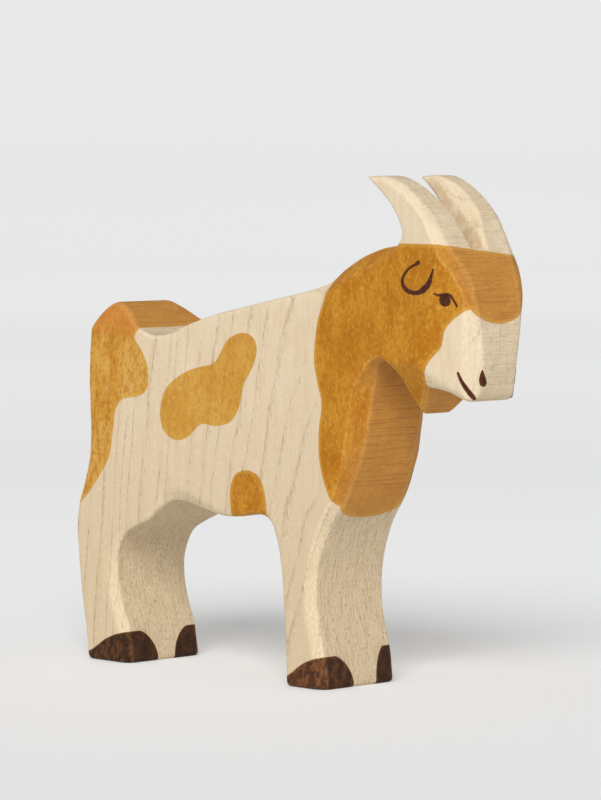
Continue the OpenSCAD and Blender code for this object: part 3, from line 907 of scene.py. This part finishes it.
def ochre_stain():
    s = Shader("ochre_stain")
    w = wood_figure_values(s)
    pale = s.spread(w["blotch"], 0.38, 0.62)
    thin = s.mix(pale, linear(203, 156, 76), linear(193, 140, 52))
    deep = s.mix(pale, linear(185, 124, 22), linear(170, 105, 8))
    # How dark each coat dried, with painted shade added on the top of the tail.
    colour = s.mix(s.value("soak"), thin, deep)
    broken = s.spread(w["fleck"], 0.35, 0.6, 0.25, 1.0)
    colour = layered(s, colour, [
        (s.spread(w["patch"], 0.5, 0.36), 0.4, linear(160, 92, 12)),
        (s.spread(w["felt"], 0.5, 0.38), 0.4, linear(156, 94, 20)),
        (s.spread(w["felt"], 0.55, 0.68), 0.38, linear(221, 168, 80)),
        (w["line"], 0.35, linear(140, 88, 30)),
        (w["pore"], 0.4, linear(118, 70, 26)),
        (w["cut"], 0.6, linear(193, 137, 72)),
        # Painted shade: redder, darker stain on the sides of the tail's top.
        (s.value("blush"), 0.55, linear(192, 117, 56)),
        (w["saw"], 0.3, linear(134, 84, 40)),
        (w["tooth"], 0.4, linear(214, 160, 92)),
        # Painted highlight: the shaved facets and the facet crests are drawn lighter, broken up by
        # flecks.
        (s.math("MULTIPLY", w["shaved"], broken), 0.12, linear(214, 160, 82)),
        (s.math("MULTIPLY", w["edge"], broken), 0.35, linear(226, 176, 100)),
        (s.spread(s.value("rim"), 0.2, 1.2, 1.0, 0.0), 0.35, linear(208, 164, 78)),
    ])
    return finish_wood(s, w, colour, 0.6, 0.07)


def hoof_paint():
    s = Shader("hoof_paint")
    w = wood_figure_values(s)
    thin = s.mix(s.spread(w["patch"], 0.4, 0.6), linear(80, 48, 27), linear(120, 76, 44))
    deep = s.mix(s.spread(w["patch"], 0.4, 0.6), linear(44, 26, 14), linear(78, 48, 26))
    worn = s.math("MULTIPLY", w["edge"], s.spread(w["fleck"], 0.4, 0.6, 0.2, 1.0))
    colour = layered(s, s.mix(s.value("soak"), thin, deep), [
        (s.spread(w["felt"], 0.5, 0.38), 0.6, linear(30, 16, 10)),
        (w["cut"], 0.55, linear(50, 33, 21)),
        (w["pore"], 0.6, linear(30, 16, 10)),
        (worn, 0.4, linear(158, 116, 84)),
        (s.spread(s.value("rim"), 0.05, 0.5, 1.0, 0.0), 0.5, linear(116, 80, 42)),
    ])
    return finish_wood(s, w, colour, 0.56, 0.1)


def line_paint():
    s = Shader("line_paint")
    point = s.millimetres()
    brush = s.noise(point, (1.4, 1.4, 1.4), 4.0, 0.65)
    colour = s.mix(s.spread(brush, 0.4, 0.75), linear(60, 26, 12), linear(98, 50, 24))
    rim = s.spread(s.value("rim"), 0.0, 0.25, 0.5, 0.0)
    colour = s.mix(rim, colour, linear(122, 70, 30))
    s.bump(brush, 0.04)
    s.put(s.surface.inputs["Base Color"], colour)
    s.put(s.surface.inputs["Roughness"], s.spread(brush, 0.3, 0.7, 0.5, 0.64, False))
    s.surface.inputs["Specular IOR Level"].default_value = 0.2
    return s.material


# ---------------------------------------------------------------- stage, lights and camera
def add_backdrop():
    """A round pale floor that sweeps up into a wall on every side, and looks evenly lit."""
    profile = [(FLOOR_RADIUS * k / 6, 0.0) for k in range(1, 7)]
    for k in range(1, 13):
        turn = math.pi / 2 * k / 12
        out = SWEEP_RADIUS * math.sin(turn)
        profile.append((FLOOR_RADIUS + out, SWEEP_RADIUS * (1 - math.cos(turn))))
    profile.append((FLOOR_RADIUS + SWEEP_RADIUS, SWEEP_RADIUS + WALL_HEIGHT))
    vertices = [(0.0, 0.0, 0.0)]
    for r, z in profile:
        for k in range(BACKDROP_SIDES):
            turn = 2 * math.pi * k / BACKDROP_SIDES
            vertices.append((r * math.cos(turn), r * math.sin(turn), z))
    faces = []
    for k in range(BACKDROP_SIDES):
        n = (k + 1) % BACKDROP_SIDES
        faces.append((0, 1 + k, 1 + n))
        for ring in range(len(profile) - 1):
            low = 1 + ring * BACKDROP_SIDES
            high = low + BACKDROP_SIDES
            faces.append((low + k, high + k, high + n, low + n))
    mesh = bpy.data.meshes.new("backdrop")
    mesh.from_pydata(vertices, [], faces)
    mesh.polygons.foreach_set("use_smooth", np.ones(len(mesh.polygons), bool))
    s = Shader("backdrop")
    where = s.node("ShaderNodeTexCoord").outputs["Object"]
    axes = s.node("ShaderNodeSeparateXYZ", {0: where}).outputs
    climb = s.math("SQRT", s.math("MAXIMUM", axes[2], 0.0))
    squares = [s.math("MULTIPLY", axes[k], axes[k]) for k in (0, 1)]
    radius = s.math("SQRT", s.math("ADD", *squares))
    colour = s.ramp(climb, [(0.0, 0.74), (0.19, 0.35), (0.33, 0.22), (0.51, 0.15), (0.77, 0.13)])
    glow = s.ramp(climb, [(0.0, 0.2), (0.19, 0.47), (0.33, 0.57), (0.51, 0.65), (0.77, 0.67)])
    paper = s.spread(s.noise(where, (3.0, 3.0, 3.0), 2.0), 0.0, 1.0, 0.98, 1.0)
    paper = s.math("MULTIPLY", paper, s.spread(radius, 0.2, 0.7, 1.0, 0.91))
    paper = s.math("MULTIPLY", paper, s.spread(radius, 1.2, 1.95, 1.0, 0.89))
    s.put(s.surface.inputs["Base Color"], s.mix(1.0, colour, paper, "MULTIPLY"))
    s.surface.inputs["Roughness"].default_value = 0.9
    s.surface.inputs["Specular IOR Level"].default_value = 0.0
    s.put(s.surface.inputs["Emission Color"], glow)
    s.surface.inputs["Emission Strength"].default_value = 1.0
    mesh.materials.append(s.material)
    made = bpy.data.objects.new("backdrop", mesh)
    bpy.context.scene.collection.objects.link(made)


def add_lights():
    """One very soft light from beside the camera, and the room's own even light."""
    world = bpy.data.worlds.new("studio")
    world.use_nodes = True
    sky = world.node_tree.nodes["Background"].inputs
    sky["Color"].default_value = (1, 1, 1, 1)
    sky["Strength"].default_value = ROOM_LIGHT
    bpy.context.scene.world = world
    light = bpy.data.lights.new("key", "SUN")
    light.angle = math.radians(KEY_SPREAD)
    light.energy = KEY_LIGHT * math.pi
    made = bpy.data.objects.new("key", light)
    made.rotation_euler = (math.radians(90 - KEY_ELEVATION), 0, math.radians(KEY_AZIMUTH))
    bpy.context.scene.collection.objects.link(made)


def add_camera():
    camera = bpy.data.cameras.new("camera")
    camera.lens = 180
    camera.sensor_width = 36
    camera.clip_end = 20
    made = bpy.data.objects.new("camera", camera)
    made.location = CAMERA_AT
    made.rotation_euler = (math.radians(90 - CAMERA_DOWN), 0, math.radians(CAMERA_AZIMUTH))
    bpy.context.scene.collection.objects.link(made)
    bpy.context.scene.camera = made


# ---------------------------------------------------------------- the goat
def shading_values(view, vertices, normals):
    """What the materials need to know of each vertex.

    ridge marks the crests of the facets, cut the faces that were sawn across the flank, shaved the
    facets between them and the flank, and horn_gap_shade the walls between the horns, where shade
    is painted into the wood. along is the saw's path, and crossing says how squarely the growth
    rings meet the surface.
    """
    faces, along = faces_of_goat(view, *vertices.T)
    ranked = np.sort(np.stack(faces), axis=0)
    # Painted shade for the walls between the horns: full on the gap's walls, gone 0.3 mm off them.
    horn_gap_shade = 1 - part_way(ranked[-1] - faces[SLOT_FACE], 0, 0.3)
    near_edge = 1 - part_way(ranked[-1] - ranked[-2], 0.05, 0.45)
    tilt = np.abs(normals[:, 1])
    cut = 1 - part_way(tilt, 0.25, 0.65)
    shaved = part_way(tilt, 0.4, 0.52) * (1 - part_way(tilt, 0.87, 0.93))
    ridge = near_edge * np.minimum(3 * shaved + cut, 1)
    x, y, z = vertices.T
    rise = TREE_LEAN * (z - TREE_AT[2])
    outward = unit(np.stack([x - TREE_AT[0], y - TREE_AT[1] - rise, np.zeros(len(x))], axis=1))
    crossing = 1 - np.abs(np.sum(outward * normals, axis=1))
    return {
        "ridge": ridge, "cut": cut, "shaved": shaved, "horn_gap_shade": horn_gap_shade, "along": along,
        "crossing": crossing,
    }


def build_goat():
    view = SideView(side_outline())

    def field(x, y, z):
        return goat(view, x, y, z)

    vertices, quads = dual_contour(field)
    normals = unit(slopes(field, vertices, 0.1))
    values = shading_values(view, vertices, normals)
    wood = Skin(vertices, quads, normals, values)
    bare, ochre, brown, lines = bare_wood(), ochre_stain(), hoof_paint(), line_paint()
    add_piece("carved_wood", "wood_figure", wood, bare, normals)

    triangles = np.concatenate([quads[:, [0, 1, 2]], quads[:, [0, 2, 3]]])
    whole = Skin(vertices, triangles, normals, values)
    # Name, CAD node, slot, material, region, and how dark the coat dried.
    coats = [
        ("head_coat", "head_and_neck_stain", "ochre_stain", ochre, head_region, 0.85),
        ("tail_coat", "tail_stain", "ochre_stain", ochre, tail_region, 0.0),
    ]
    for side, word in ((RIGHT, "right"), (LEFT, "left")):
        coats += [
            (f"flank_blot_{word}", f"flank_patch_{word}", "ochre_stain", ochre,
             patch_region(FLANK_LOOP, FLANK_BLOT_MIN_Y, side), 0.3),
            (f"belly_blot_{word}", f"belly_patch_{word}", "ochre_stain", ochre,
             patch_region(BELLY_LOOP, BELLY_BLOT_MIN_Y, side), 0.8),
            (f"front_hoof_{word}", f"front_hoof_paint_{word}", "hoof_paint", brown,
             hoof_region(FRONT_HOOF, side), 0.1 if side == RIGHT else 0.8),
            (f"rear_hoof_{word}", f"rear_hoof_paint_{word}", "hoof_paint", brown,
             hoof_region(REAR_HOOF, side), 0.75),
        ]
    for name, node, slot, material, region, soak in coats:
        shell = thicken(cut_out(whole, region), COAT_OUT, COAT_IN)
        # Painted shade: the stain on the top of the tail is drawn darker, and redder on its sides.
        tail_top_shade = part_way(shell.vertices[:, 2], 82, 86) * (shell.vertices[:, 0] < 0)
        shell.values["soak"] = np.maximum(soak, 0.6 * tail_top_shade)
        shell.values["blush"] = tail_top_shade * (1 - shell.values["cut"])
        add_piece(name, node, shell, material, shell.normals)

    tree = BVHTree.FromPolygons(vertices.tolist(), quads.tolist())
    rng = np.random.default_rng(SEED)
    for side, word in ((RIGHT, "right"), (LEFT, "left")):
        shift = LEFT_NOSTRIL_SHIFT if side == LEFT else 0
        nostril = [[across + shift, z, width] for across, z, width in NOSTRIL]
        strokes = {
            f"ear_line_{word}": stroke_skin(tree, EAR_LINE, 0, side, rng),
            f"eyelid_line_{word}": stroke_skin(tree, EYELID_LINE, 0, side, rng),
            f"eye_{word}": dot_skin(tree, EYE[:2], EYE[2], 0, side),
            f"mouth_line_{word}": stroke_skin(tree, MOUTH_LINE, MOUTH_SLANT, side, rng),
            f"nostril_{word}": stroke_skin(tree, nostril, MOUTH_SLANT, side, rng),
        }
        for node, skin in strokes.items():
            shell = thicken(skin, STROKE_OUT, STROKE_IN)
            add_piece(node.replace("_", "_brush_", 1), node, shell, lines)


add_camera()
add_backdrop()
add_lights()
build_goat()
bpy.context.scene.view_settings.view_transform = "Standard"
